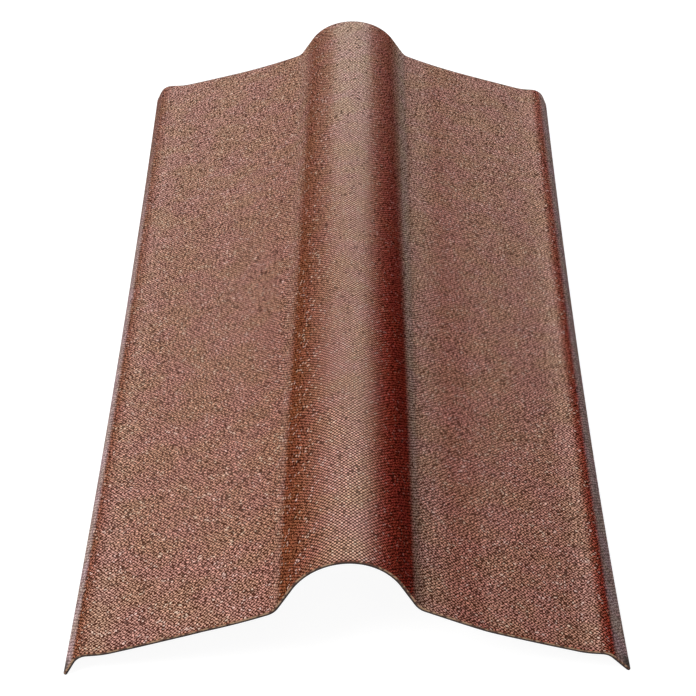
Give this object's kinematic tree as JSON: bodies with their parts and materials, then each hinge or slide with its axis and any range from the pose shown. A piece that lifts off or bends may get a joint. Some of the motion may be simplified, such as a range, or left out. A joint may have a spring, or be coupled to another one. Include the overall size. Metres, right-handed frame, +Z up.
{
  "type": "ridge tile",
  "caption": "One-piece roof ridge sheet with a half-round roll along its middle, a sloping wing on each side and turned-down lips.",
  "frame": {"origin": "middle of the floor under the piece: half way along it, half way across, level with the lips' lower edges", "axes": "+X across the piece, over the right wing; +Y along the ridge; +Z up, through the top of the roll"},
  "size_m": [0.42, 1, 0.1043],
  "materials": {
    "bitumen_fibre": "matte"
  },
  "bodies": {
    "root": {"ridge_sheet": "bitumen_fibre"}
  },
  "joints": []
}
